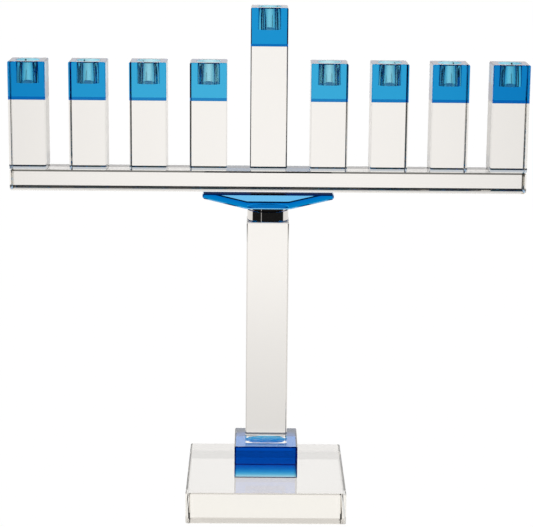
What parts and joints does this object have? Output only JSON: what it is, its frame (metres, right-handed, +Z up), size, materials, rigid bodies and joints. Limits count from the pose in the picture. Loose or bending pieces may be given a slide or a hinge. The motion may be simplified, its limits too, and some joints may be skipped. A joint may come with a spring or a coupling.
{
  "type": "menorah",
  "caption": "Candle holder of clear and blue glass blocks: a row of square pillars with a raised centre light on a crossbar, screwed to a column on a square foot.",
  "frame": {"origin": "centre of the underside of the square foot", "axes": "+Z up, +X along the row of lights, +Y to the back; the piece looks the same from the front and the back"},
  "size_m": [0.28, 0.0874, 0.277],
  "materials": {
    "clear_glass": "polished",
    "blue_glass": "polished",
    "chrome": "bright chrome plate",
    "stud_steel": "machined",
    "washer_plastic": "natural nylon"
  },
  "bodies": {
    "stem": {"base_slab": "clear_glass", "plinth_block": "blue_glass", "stem_column": "clear_glass", "lower_collar": "chrome"},
    "washer": {"seating_washer": "washer_plastic"},
    "head": {"threaded_stud": "stud_steel", "upper_flange": "chrome", "yoke_block": "blue_glass", "crossbar": "clear_glass", "arm_pillar_1": "clear_glass", "arm_cap_1": "blue_glass", "arm_pillar_2": "clear_glass", "arm_cap_2": "blue_glass", "arm_pillar_3": "clear_glass", "arm_cap_3": "blue_glass", "arm_pillar_4": "clear_glass", "arm_cap_4": "blue_glass", "arm_pillar_5": "clear_glass", "arm_cap_5": "blue_glass", "arm_pillar_6": "clear_glass", "arm_cap_6": "blue_glass", "arm_pillar_7": "clear_glass", "arm_cap_7": "blue_glass", "arm_pillar_8": "clear_glass", "arm_cap_8": "blue_glass", "shamash_pillar": "clear_glass", "shamash_cap": "blue_glass"}
  },
  "joints": [
    {"name": "head_lift", "type": "slide", "parent": "stem", "child": "washer", "axis": [0, 0, 1], "range_m": [0, 0.00391]},
    {"name": "head_turn", "type": "hinge", "parent": "washer", "child": "head", "pos_m": [0, 0, 0.167], "axis": [0, 0, 1], "range_deg": [0, 1125]}
  ],
  "couplings": [
    {"joint": "head_lift", "follows": "head_turn", "m_per_rad": 0.00019894}
  ]
}
